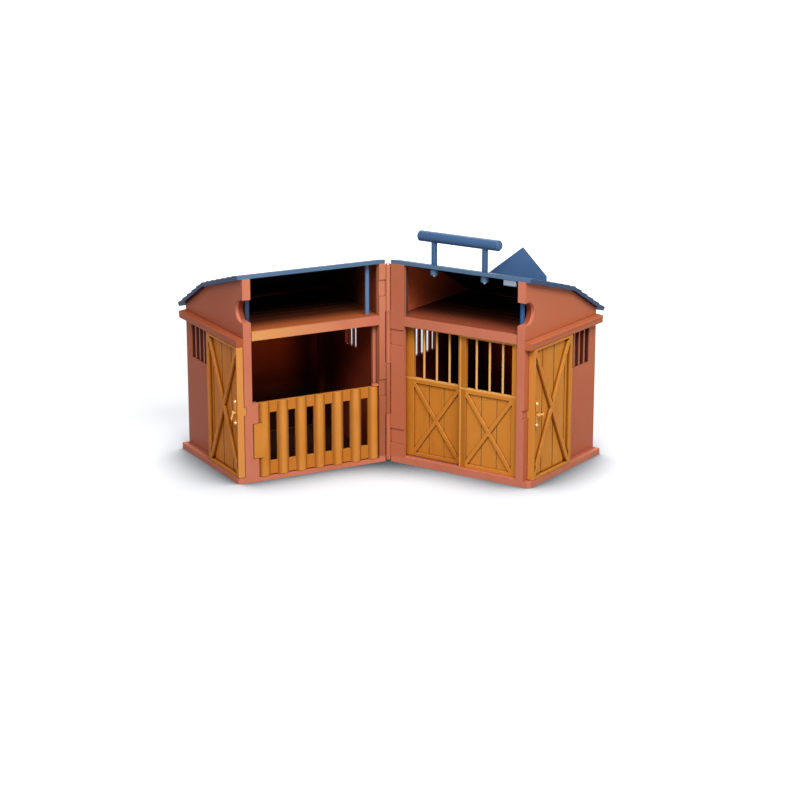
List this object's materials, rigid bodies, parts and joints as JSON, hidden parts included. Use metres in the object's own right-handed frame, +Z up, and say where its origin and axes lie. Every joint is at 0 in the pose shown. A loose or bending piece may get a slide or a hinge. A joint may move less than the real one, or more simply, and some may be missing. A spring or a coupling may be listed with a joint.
{
  "type": "toy barn",
  "caption": "Folding carry-along toy barn: two open-fronted halves on an upright hinge, with sliding doors, a swinging stall gate, lofts and a carry handle.",
  "frame": {"origin": "centre of the object's footprint box, on the ground", "axes": "+Z up along the fold hinge, -Y towards the viewer that the opened fronts face, the left half at -X"},
  "size_m": [0.4656, 0.2272, 0.2582],
  "materials": {
    "barn_salmon": "satin moulded plastic",
    "door_tan": "satin moulded plastic",
    "roof_blue": "satin moulded plastic",
    "catch_grey_blue": "satin moulded plastic",
    "latch_brass": "bright",
    "steel": "plain"
  },
  "bodies": {
    "left_half": {"base_left": "barn_salmon", "outer_gable_left": "barn_salmon", "hinge_wall_left": "barn_salmon", "back_wall_left": "barn_salmon", "loft_left": "barn_salmon", "roof_left": "roof_blue", "roof_posts_left": "roof_blue", "hinge_pin": "steel", "base_screws_left": "steel"},
    "right_half": {"base_right": "barn_salmon", "outer_gable_right": "barn_salmon", "hinge_wall_right": "barn_salmon", "back_wall_right": "barn_salmon", "loft_right": "barn_salmon", "roof_right": "roof_blue", "roof_posts_right": "roof_blue", "carry_handle": "roof_blue", "handle_screws": "steel", "cupola": "roof_blue", "roof_catch": "catch_grey_blue", "base_screws_right": "steel"},
    "left_gable_door": {"gable_door_left": "door_tan", "latch_plate_left": "latch_brass"},
    "right_gable_door": {"gable_door_right": "door_tan", "latch_plate_right": "latch_brass"},
    "left_latch": {"latch_lever_left": "latch_brass"},
    "right_latch": {"latch_lever_right": "latch_brass"},
    "stall_gate": {"stall_gate": "door_tan"},
    "front_stall_door": {"stall_door_front": "door_tan"},
    "rear_stall_door": {"stall_door_rear": "door_tan"}
  },
  "joints": [
    {"name": "barn_fold", "type": "hinge", "parent": "left_half", "child": "right_half", "pos_m": [0, -0.02103, 0.11], "axis": [0, 0, 1], "range_deg": [-117.5, 62]},
    {"name": "left_gable_door_slide", "type": "slide", "parent": "left_half", "child": "left_gable_door", "axis": [-0.5188, 0.8549, 0], "range_m": [0, 0.073]},
    {"name": "right_gable_door_slide", "type": "slide", "parent": "right_half", "child": "right_gable_door", "axis": [0.5188, 0.8549, 0], "range_m": [-0.008, 0.065]},
    {"name": "left_latch_turn", "type": "hinge", "parent": "left_gable_door", "child": "left_latch", "pos_m": [-0.15408, -0.10985, 0.0786], "axis": [0.8549, 0.5188, 0], "range_deg": [-29, 61]},
    {"name": "right_latch_turn", "type": "hinge", "parent": "right_gable_door", "child": "right_latch", "pos_m": [0.15823, -0.10301, 0.0786], "axis": [0.8549, -0.5188, 0], "range_deg": [-82, 8]},
    {"name": "stall_gate_swing", "type": "hinge", "parent": "left_half", "child": "stall_gate", "pos_m": [-0.01464, -0.02582, 0.045], "axis": [0, 0, 1], "range_deg": [0, 100]},
    {"name": "front_stall_door_slide", "type": "slide", "parent": "right_half", "child": "front_stall_door", "axis": [-0.8549, 0.5188, 0], "range_m": [0, 0.069]},
    {"name": "rear_stall_door_slide", "type": "slide", "parent": "right_half", "child": "rear_stall_door", "axis": [0.8549, -0.5188, 0], "range_m": [0, 0.069]}
  ]
}
